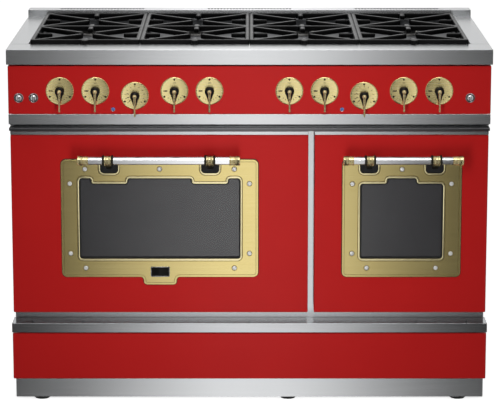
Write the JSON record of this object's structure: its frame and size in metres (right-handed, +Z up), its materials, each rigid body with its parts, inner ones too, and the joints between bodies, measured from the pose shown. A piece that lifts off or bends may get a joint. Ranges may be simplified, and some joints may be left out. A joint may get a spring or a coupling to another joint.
{
  "type": "freestanding gas range",
  "caption": "Wide freestanding gas range in red enamel and steel, with cast iron grates, lever dial knobs, and a large and a small oven behind drop-down doors with brass framed windows.",
  "frame": {"origin": "on the floor under the middle of the whole range", "axes": "+X to the right of a person facing the range, +Y from the front to the back, +Z up"},
  "size_m": [1.216, 0.741, 0.943],
  "materials": {
    "red_enamel": "gloss vitreous enamel",
    "stainless": "brushed, No. 4",
    "black_strip": "satin black",
    "galvanised": "plain sheet",
    "tray_steel": "satin",
    "brass": "brushed, lacquered",
    "handle_steel": "polished bar with brass fittings",
    "cast_iron": "matt black",
    "burner": "matt black enamel",
    "knob_black": "gloss hub with brass lever",
    "button_chrome": "polished",
    "oven_glass": "tinted",
    "oven_enamel": "speckled vitreous enamel",
    "rack_wire": "plated wire",
    "emblem": "black with a bright edge",
    "brass_pipe": "plain",
    "foot_black": "satin",
    "fan_steel": "plain sheet"
  },
  "bodies": {
    "cabinet": {"cooktop_frame": "stainless", "drip_tray": "tray_steel", "backguard": "stainless", "control_panel": "red_enamel", "dial_plates": "brass", "control_trim": "stainless", "heat_strip": "black_strip", "front_frame": "stainless", "oven_box_large": "oven_enamel", "oven_box_small": "oven_enamel", "rack_large_upper": "rack_wire", "rack_large_lower": "rack_wire", "rack_small": "rack_wire", "gas_manifold": "brass_pipe", "side_panel_left": "stainless", "side_panel_right": "stainless", "rear_panel": "galvanised", "lower_rail": "stainless", "lower_panel": "red_enamel", "kick_plate": "stainless", "base_pan": "galvanised", "burner_pair_1": "burner", "burner_pair_2": "burner", "burner_pair_3": "burner", "burner_pair_4": "burner", "grate_1": "cast_iron", "grate_2": "cast_iron", "grate_3": "cast_iron", "grate_4": "cast_iron"},
    "left_door": {"door_skin_left": "red_enamel", "door_liner_left": "stainless", "door_glass_left": "oven_glass", "window_frame_left": "brass", "handle_left": "handle_steel", "emblem_plate": "emblem"},
    "right_door": {"door_skin_right": "red_enamel", "door_liner_right": "stainless", "door_glass_right": "oven_glass", "window_frame_right": "brass", "handle_right": "handle_steel"},
    "fan": {"fan_wheel": "fan_steel"},
    "knob_1_body": {"knob_1": "knob_black"},
    "knob_2_body": {"knob_2": "knob_black"},
    "knob_3_body": {"knob_3": "knob_black"},
    "knob_4_body": {"knob_4": "knob_black"},
    "knob_5_body": {"knob_5": "knob_black"},
    "knob_6_body": {"knob_6": "knob_black"},
    "knob_7_body": {"knob_7": "knob_black"},
    "knob_8_body": {"knob_8": "knob_black"},
    "knob_9_body": {"knob_9": "knob_black"},
    "knob_10_body": {"knob_10": "knob_black"},
    "button_1": {"switch_button_1": "button_chrome"},
    "button_2": {"switch_button_2": "button_chrome"},
    "button_3": {"switch_button_3": "button_chrome"},
    "foot_front_left_body": {"foot_front_left": "foot_black"},
    "foot_front_middle_body": {"foot_front_middle": "foot_black"},
    "foot_front_right_body": {"foot_front_right": "foot_black"},
    "foot_rear_left_body": {"foot_rear_left": "foot_black"},
    "foot_rear_middle_body": {"foot_rear_middle": "foot_black"},
    "foot_rear_right_body": {"foot_rear_right": "foot_black"}
  },
  "joints": [
    {"name": "left_door_hinge", "type": "hinge", "parent": "cabinet", "child": "left_door", "pos_m": [-0.2275, -0.2815, 0.25], "axis": [1, 0, 0], "range_deg": [0, 90], "stiffness_Nm_per_rad": 12, "springref_deg": -11.46},
    {"name": "right_door_hinge", "type": "hinge", "parent": "cabinet", "child": "right_door", "pos_m": [0.38425, -0.2815, 0.25], "axis": [1, 0, 0], "range_deg": [0, 90], "stiffness_Nm_per_rad": 7, "springref_deg": -11.46},
    {"name": "fan_spin", "type": "hinge", "parent": "cabinet", "child": "fan", "pos_m": [-0.2275, 0.2615, 0.4725], "axis": [0, -1, 0], "continuous": true},
    {"name": "knob_1_turn", "type": "hinge", "parent": "cabinet", "child": "knob_1_body", "pos_m": [-0.475, -0.3285, 0.82], "axis": [0, -1, 0], "range_deg": [0, 210]},
    {"name": "knob_2_turn", "type": "hinge", "parent": "cabinet", "child": "knob_2_body", "pos_m": [-0.386, -0.3285, 0.82], "axis": [0, -1, 0], "range_deg": [0, 210]},
    {"name": "knob_3_turn", "type": "hinge", "parent": "cabinet", "child": "knob_3_body", "pos_m": [-0.287, -0.3285, 0.808], "axis": [0, -1, 0], "range_deg": [0, 270]},
    {"name": "knob_4_turn", "type": "hinge", "parent": "cabinet", "child": "knob_4_body", "pos_m": [-0.188, -0.3285, 0.82], "axis": [0, -1, 0], "range_deg": [0, 210]},
    {"name": "knob_5_turn", "type": "hinge", "parent": "cabinet", "child": "knob_5_body", "pos_m": [-0.1, -0.3285, 0.82], "axis": [0, -1, 0], "range_deg": [0, 210]},
    {"name": "knob_6_turn", "type": "hinge", "parent": "cabinet", "child": "knob_6_body", "pos_m": [0.1, -0.3285, 0.82], "axis": [0, -1, 0], "range_deg": [0, 210]},
    {"name": "knob_7_turn", "type": "hinge", "parent": "cabinet", "child": "knob_7_body", "pos_m": [0.188, -0.3285, 0.82], "axis": [0, -1, 0], "range_deg": [0, 210]},
    {"name": "knob_8_turn", "type": "hinge", "parent": "cabinet", "child": "knob_8_body", "pos_m": [0.287, -0.3285, 0.808], "axis": [0, -1, 0], "range_deg": [0, 270]},
    {"name": "knob_9_turn", "type": "hinge", "parent": "cabinet", "child": "knob_9_body", "pos_m": [0.386, -0.3285, 0.82], "axis": [0, -1, 0], "range_deg": [0, 210]},
    {"name": "knob_10_turn", "type": "hinge", "parent": "cabinet", "child": "knob_10_body", "pos_m": [0.475, -0.3285, 0.82], "axis": [0, -1, 0], "range_deg": [0, 210]},
    {"name": "button_1_push", "type": "slide", "parent": "cabinet", "child": "button_1", "axis": [0, 1, 0], "range_m": [0, 0.003], "stiffness_N_per_m": 400},
    {"name": "button_2_push", "type": "slide", "parent": "cabinet", "child": "button_2", "axis": [0, 1, 0], "range_m": [0, 0.003], "stiffness_N_per_m": 400},
    {"name": "button_3_push", "type": "slide", "parent": "cabinet", "child": "button_3", "axis": [0, 1, 0], "range_m": [0, 0.003], "stiffness_N_per_m": 400},
    {"name": "foot_front_left_turn", "type": "hinge", "parent": "cabinet", "child": "foot_front_left_body", "pos_m": [-0.539, -0.2395, 0], "axis": [0, 0, 1], "range_deg": [0, 360]},
    {"name": "foot_front_middle_turn", "type": "hinge", "parent": "cabinet", "child": "foot_front_middle_body", "pos_m": [0.1, -0.2395, 0], "axis": [0, 0, 1], "range_deg": [0, 360]},
    {"name": "foot_front_right_turn", "type": "hinge", "parent": "cabinet", "child": "foot_front_right_body", "pos_m": [0.541, -0.2395, 0], "axis": [0, 0, 1], "range_deg": [0, 360]},
    {"name": "foot_rear_left_turn", "type": "hinge", "parent": "cabinet", "child": "foot_rear_left_body", "pos_m": [-0.539, 0.3035, 0], "axis": [0, 0, 1], "range_deg": [0, 360]},
    {"name": "foot_rear_middle_turn", "type": "hinge", "parent": "cabinet", "child": "foot_rear_middle_body", "pos_m": [0.1, 0.3035, 0], "axis": [0, 0, 1], "range_deg": [0, 360]},
    {"name": "foot_rear_right_turn", "type": "hinge", "parent": "cabinet", "child": "foot_rear_right_body", "pos_m": [0.541, 0.3035, 0], "axis": [0, 0, 1], "range_deg": [0, 360]}
  ]
}
